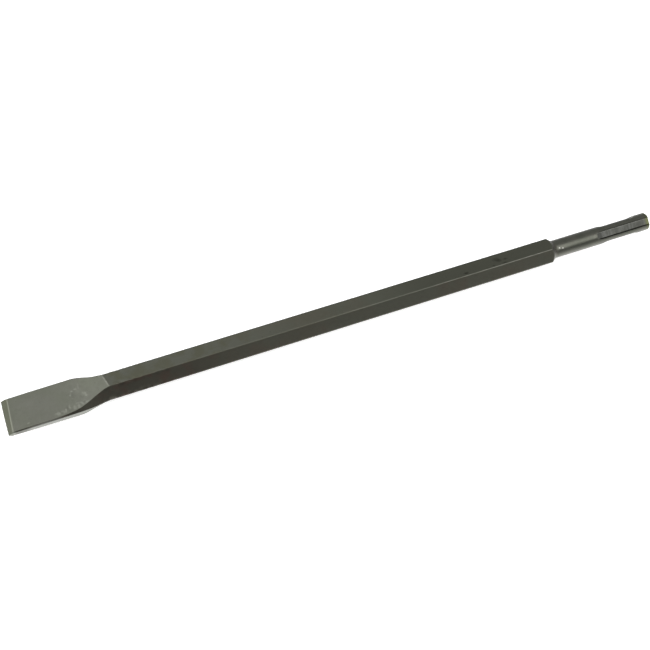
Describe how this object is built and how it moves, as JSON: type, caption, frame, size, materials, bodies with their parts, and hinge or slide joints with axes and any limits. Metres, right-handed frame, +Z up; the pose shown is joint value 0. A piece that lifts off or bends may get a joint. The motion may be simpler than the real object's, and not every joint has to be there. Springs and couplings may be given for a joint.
{
  "type": "flat chisel",
  "caption": "Flat chisel for a rotary hammer: forged blade with a ground edge, hexagonal bar, turned neck and slotted 10 mm shank.",
  "frame": {"origin": "under the middle of the bar's length, on the surface that its lower flat lies on", "axes": "+X along the bar from the cutting edge to the struck end, +Y across the blade, +Z up"},
  "size_m": [0.362, 0.0206, 0.0135],
  "materials": {
    "ground_steel": "ground bevels, fine scratches, satin",
    "forged_steel": "forged and blasted, matt, with shallow dents and pits",
    "bar_steel": "drawn bar, dull, faint blotches",
    "turned_steel": "turned and milled, lightly oiled, semi-gloss"
  },
  "bodies": {
    "root": {"cutting_edge": "ground_steel", "blade": "forged_steel", "hex_shaft": "bar_steel", "neck": "turned_steel", "drive_shank": "turned_steel"}
  },
  "joints": []
}
